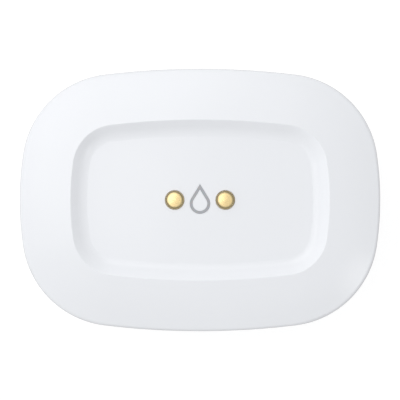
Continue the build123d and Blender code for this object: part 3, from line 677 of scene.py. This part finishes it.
class LEAKSENSOR_OT_coin_cell(bpy.types.Operator):
    """Finish the coin cell and stamp a plus sign into the face of its can"""

    bl_idname = "leak_sensor.coin_cell"
    bl_label = "Coin Cell"

    def execute(self, context):
        nickel = spun_nickel()
        dress(nickel, "cell_can", "cell_cap")
        dress(dark_plastic("cell_ring_plastic", (0.05, 0.055, 0.07)), "cell_insulator")
        dress(pressed_powder(), "cell_filling")
        face = Vector((0, 0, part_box("cell_can")[0].z))
        depth = Vector((0, 0, PLUS_DEPTH))
        work = bmesh.new()
        for arm in PLUS_ARMS:
            half = Vector((*arm, 0)) * MILLIMETRE
            rounded_block(work, face - half - depth, face + half + depth, PLUS_ROUNDING)
        add_piece("cell_plus_sign", work, nickel, "coin_cell")
        return {"FINISHED"}


class LEAKSENSOR_OT_contacts(bpy.types.Operator):
    """Finish the spring contacts and the two battery contacts"""

    bl_idname = "leak_sensor.contacts"
    bl_label = "Contacts"

    def execute(self, context):
        dress(rolled_steel("gold_flash", (0.83, 0.64, 0.30)), "probe_contacts", "foot_contacts")
        dress(rolled_steel("nickel_strip", (0.68, 0.66, 0.61)), "positive_contact", "negative_contact")
        return {"FINISHED"}


class LEAKSENSOR_OT_board(bpy.types.Operator):
    """Lacquer the board and finish the parts on it"""

    bl_idname = "leak_sensor.board"
    bl_label = "Circuit Board"

    def execute(self, context):
        look = context.scene.board_look
        dress(solder_mask("solder_mask", look.lacquer), "main_board")
        dress(rolled_steel("tinned_shield", (0.76, 0.76, 0.73), 0.16, 0.3), "radio_shield", "crystal")
        dress(dark_plastic("chip_epoxy", (0.016, 0.016, 0.018)), "radio_chip", "resistors")
        dress(dark_plastic("switch_plastic", (0.02, 0.02, 0.022), 0.42), "switch_body", "switch_plunger")
        dress(fired_ceramic("aerial_ceramic", (0.72, 0.68, 0.58)), "antenna")
        dress(fired_ceramic("capacitor_ceramic", (0.36, 0.22, 0.11)), "capacitors")
        solder = bright_solder()
        self.add_end_caps(solder)
        self.add_pads(look, solder)
        self.add_tracks(look, solder)
        return {"FINISHED"}

    def add_end_caps(self, solder):
        """Tinned caps on both ends of every chip part."""
        for node, share in CAP_SHARES.items():
            work = bmesh.new()
            for low, high in solids_of(node):
                reach = (high.x - low.x) * share
                for near, far in ((low.x - CAP_SKIN, low.x + reach), (high.x - reach, high.x + CAP_SKIN)):
                    rounded_block(work, (near, low.y - CAP_SKIN, low.z),
                                  (far, high.y + CAP_SKIN, high.z + CAP_SKIN), CAP_SKIN, 2)
            add_piece(node.rstrip("s") + "_end_caps", work, solder, "case")

    def add_pads(self, look, solder):
        """A hollow solder fillet and a tinned pad at both ends of every chip part."""
        work = bmesh.new()
        pads = []
        for node in ("capacitors", "resistors", "antenna", "crystal"):
            for low, high in solids_of(node):
                rise = min((high.z - low.z) * FILLET_SHARE, PAD_REACH)
                for face, outwards in ((low.x, -1), (high.x, 1)):
                    pads.append(((face - PAD_REACH, low.y - PAD_MARGIN, low.z - look.copper),
                                 (face + PAD_REACH, high.y + PAD_MARGIN, low.z + look.copper)))
                    toe = face + outwards * PAD_REACH - outwards * PAD_MARGIN
                    root = face - outwards * PAD_MARGIN
                    hollow = [(face + outwards * (PAD_REACH - PAD_MARGIN) * (1 - math.sin(turn)),
                               low.z + look.copper + rise * (1 - math.cos(turn))) for turn in FILLET_TURNS]
                    section = [(root, low.z), (toe, low.z), *hollow, (root, low.z + look.copper + rise)]
                    skin_rings(work, [[(x, y, z) for x, z in section] for y in (low.y, high.y)])
        # Faces made after a rounding would be stored in an order that changes from run to run
        for low, high in pads:
            rounded_block(work, low, high, look.copper / 2, 2)
        add_piece("solder_joints", work, solder, "case")

    def add_tracks(self, look, solder):
        """Lacquered tracks between the parts, with a filled hole at every loose end."""
        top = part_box("main_board")[1].z
        work = bmesh.new()
        for route in TRACKS:
            points = [Vector(point) * MILLIMETRE for point in route]
            strip(work, points, look.track_width, top - look.copper, top + look.copper)
        add_piece("board_tracks", work, solder_mask("covered_copper", look.covered_copper), "case")
        work = bmesh.new()
        for x, y in TRACK_HOLES:
            dome = [(radius * MILLIMETRE, top + rise * MILLIMETRE) for radius, rise in HOLE_DOME]
            turned(work, dome, (x * MILLIMETRE, y * MILLIMETRE))
        add_piece("track_holes", work, solder, "case")


class LEAKSENSOR_OT_stage(bpy.types.Operator):
    """Set up the pale floor, the soft light and the camera above the dish"""

    bl_idname = "leak_sensor.stage"
    bl_label = "Stage"

    def execute(self, context):
        scene = context.scene
        look = scene.stage_look
        scene.view_settings.view_transform = "Standard"
        self.add_floor(scene, look)
        self.add_surroundings(scene, look)
        self.add_soft_box(scene, "soft_box", look.key_size, look.key_power, look.key_place, look.key_turn)
        self.add_soft_box(scene, "card", look.card_size, look.card_power, look.card_place, look.card_turn)
        self.add_camera(scene, look)
        return {"FINISHED"}

    def seen(self, nodes, links):
        """One where the camera, a reflection or a refraction looks, and nought elsewhere."""
        paths = nodes.new("ShaderNodeLightPath")
        rays = [paths.outputs[f"Is {kind} Ray"] for kind in ("Camera", "Glossy", "Transmission")]
        total = rays[0]
        for ray in rays[1:]:
            both = nodes.new("ShaderNodeMath")
            both.operation = "MAXIMUM"
            links.new(total, both.inputs[0])
            links.new(ray, both.inputs[1])
            total = both.outputs[0]
        return total

    def add_floor(self, scene, look):
        """A wide white floor that shows white and keeps a faint shadow."""
        work = bmesh.new()
        bmesh.ops.create_grid(work, x_segments=1, y_segments=1, size=FLOOR_REACH)
        mesh = bpy.data.meshes.new("floor")
        work.to_mesh(mesh)
        work.free()
        floor = bpy.data.objects.new("floor", mesh)
        scene.collection.objects.link(floor)
        material = bpy.data.materials.new("floor_white")
        material.use_nodes = True
        nodes, links = material.node_tree.nodes, material.node_tree.links
        nodes.remove(nodes["Principled BSDF"])
        matt = nodes.new("ShaderNodeBsdfDiffuse")
        matt.inputs["Color"].default_value = (FLOOR_GREY, FLOOR_GREY, FLOOR_GREY, 1)
        faint = nodes.new("ShaderNodeBsdfDiffuse")
        darkened = FLOOR_WHITE - look.floor_glow
        faint.inputs["Color"].default_value = (darkened, darkened, darkened, 1)
        glow = nodes.new("ShaderNodeEmission")
        glow.inputs["Strength"].default_value = look.floor_glow
        shown = nodes.new("ShaderNodeAddShader")
        links.new(faint.outputs[0], shown.inputs[0])
        links.new(glow.outputs[0], shown.inputs[1])
        either = nodes.new("ShaderNodeMixShader")
        links.new(self.seen(nodes, links), either.inputs["Fac"])
        links.new(matt.outputs[0], either.inputs[1])
        links.new(shown.outputs[0], either.inputs[2])
        links.new(either.outputs[0], nodes["Material Output"].inputs["Surface"])
        mesh.materials.append(material)

    def add_surroundings(self, scene, look):
        """White all round to look at, and a softer level of light from it."""
        world = bpy.data.worlds.new("white_room")
        world.use_nodes = True
        nodes, links = world.node_tree.nodes, world.node_tree.links
        room = nodes["Background"]
        room.inputs["Color"].default_value = (1, 1, 1, 1)
        towards = nodes.new("ShaderNodeTexCoord")
        lean = nodes.new("ShaderNodeVectorMath")
        lean.operation = "DOT_PRODUCT"
        links.new(towards.outputs["Generated"], lean.inputs[0])
        lean.inputs[1].default_value = look.fill_lean
        light = nodes.new("ShaderNodeMath")
        light.operation = "ADD"
        links.new(lean.outputs["Value"], light.inputs[0])
        light.inputs[1].default_value = look.fill_level
        level = nodes.new("ShaderNodeMapRange")
        links.new(self.seen(nodes, links), level.inputs["Value"])
        links.new(light.outputs[0], level.inputs["To Min"])
        level.inputs["To Max"].default_value = 1.0
        links.new(level.outputs["Result"], room.inputs["Strength"])
        scene.world = world

    def add_soft_box(self, scene, name, size, power, place, turn):
        """An even flat light that the camera doesn't see."""
        lamp = bpy.data.lights.new(name, "AREA")
        lamp.shape = "RECTANGLE"
        lamp.size, lamp.size_y = size
        lamp.energy = power
        holder = bpy.data.objects.new(name, lamp)
        holder.location = place
        holder.rotation_euler = turn
        holder.visible_camera = False
        scene.collection.objects.link(holder)

    def add_camera(self, scene, look):
        """A long lens straight above the dish."""
        camera = bpy.data.cameras.new("camera")
        camera.lens = look.lens
        camera.sensor_width = SENSOR_WIDTH
        holder = bpy.data.objects.new("camera", camera)
        level = cad_bounds[1].z - VIEW_LEVEL
        holder.location = (0, 0, level + look.view_width * look.lens / SENSOR_WIDTH)
        camera.clip_start, camera.clip_end = 0.01, 20.0
        scene.collection.objects.link(holder)
        scene.camera = holder


PIECES = (
    LEAKSENSOR_OT_housing,
    LEAKSENSOR_OT_probes,
    LEAKSENSOR_OT_drop_sign,
    LEAKSENSOR_OT_seals,
    LEAKSENSOR_OT_fasteners,
    LEAKSENSOR_OT_coin_cell,
    LEAKSENSOR_OT_contacts,
    LEAKSENSOR_OT_board,
    LEAKSENSOR_OT_stage,
)
LOOKS = {
    "housing_look": HousingLook,
    "probe_look": ProbeLook,
    "board_look": BoardLook,
    "stage_look": StageLook,
}


class LEAKSENSOR_PT_panel(bpy.types.Panel):
    """The sensor's sizes and colours, and a button for each group of pieces"""

    bl_label = "Leak Sensor"
    bl_idname = "LEAKSENSOR_PT_panel"
    bl_space_type = "VIEW_3D"
    bl_region_type = "UI"
    bl_category = "Leak Sensor"

    def draw(self, context):
        for look, group in LOOKS.items():
            box = self.layout.box()
            for setting in group.__annotations__:
                box.prop(getattr(context.scene, look), setting)
        for piece in PIECES:
            self.layout.operator(piece.bl_idname)


def register():
    """Adds the settings, the operators and the panel to Blender."""
    for group in (*LOOKS.values(), *PIECES, LEAKSENSOR_PT_panel):
        bpy.utils.register_class(group)
    for look, group in LOOKS.items():
        setattr(bpy.types.Scene, look, PointerProperty(type=group))


def unregister():
    """Takes them out again."""
    for look in LOOKS:
        delattr(bpy.types.Scene, look)
    for group in reversed((*LOOKS.values(), *PIECES, LEAKSENSOR_PT_panel)):
        bpy.utils.unregister_class(group)


def main():
    """Makes every piece in order."""
    register()
    for piece in PIECES:
        group, name = piece.bl_idname.split(".")
        getattr(getattr(bpy.ops, group), name)()


if __name__ == "__main__":
    main()
